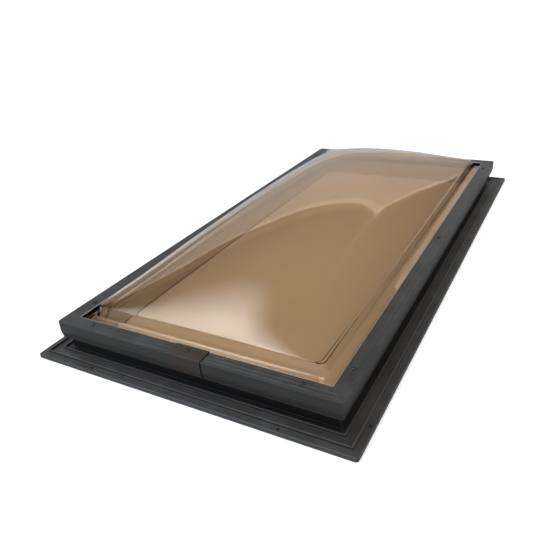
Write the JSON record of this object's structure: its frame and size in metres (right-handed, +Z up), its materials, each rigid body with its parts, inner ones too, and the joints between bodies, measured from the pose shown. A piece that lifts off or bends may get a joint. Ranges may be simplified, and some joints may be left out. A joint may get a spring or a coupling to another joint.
{
  "type": "roof skylight",
  "caption": "Low fixed roof skylight: bronze-tinted acrylic domes bedded on a dark vinyl curb with its own ribbed nailing flange and held down by a screwed, folded retainer strip.",
  "frame": {"origin": "centre of the rectangle over the nailing flange, on the flat underside that lies on the roof deck", "axes": "+X across the short side, +Y along the length, +Z up out of the roof through the domes; the retainer strip's joint is on the -Y side"},
  "size_m": [0.61, 1.22, 0.164],
  "materials": {
    "curb_vinyl": "matte extruded vinyl, charcoal, with a pale face towards the light well",
    "glazing_tape": "matte closed-cell foam tape",
    "acrylic_clear": "clear blown acrylic",
    "acrylic_bronze": "bronze-tinted blown acrylic, polished",
    "strip_vinyl": "satin ribbed vinyl, dark grey",
    "splice_brown": "smooth satin vinyl, brown-grey",
    "screw_dark": "dark coated steel"
  },
  "bodies": {
    "root": {"curb_front": "curb_vinyl", "curb_right": "curb_vinyl", "curb_back": "curb_vinyl", "curb_left": "curb_vinyl", "shelf_tape_front": "glazing_tape", "shelf_tape_right": "glazing_tape", "shelf_tape_back": "glazing_tape", "shelf_tape_left": "glazing_tape", "inner_dome": "acrylic_clear", "spacer_tape_front": "glazing_tape", "spacer_tape_right": "glazing_tape", "spacer_tape_back": "glazing_tape", "spacer_tape_left": "glazing_tape", "outer_dome": "acrylic_bronze", "top_tape_front": "glazing_tape", "top_tape_right": "glazing_tape", "top_tape_back": "glazing_tape", "top_tape_left": "glazing_tape", "retainer_strip": "strip_vinyl", "splice_plate": "splice_brown", "splice_screw": "screw_dark", "screws_front": "screw_dark", "screws_right": "screw_dark", "screws_back": "screw_dark", "screws_left": "screw_dark"}
  },
  "joints": []
}
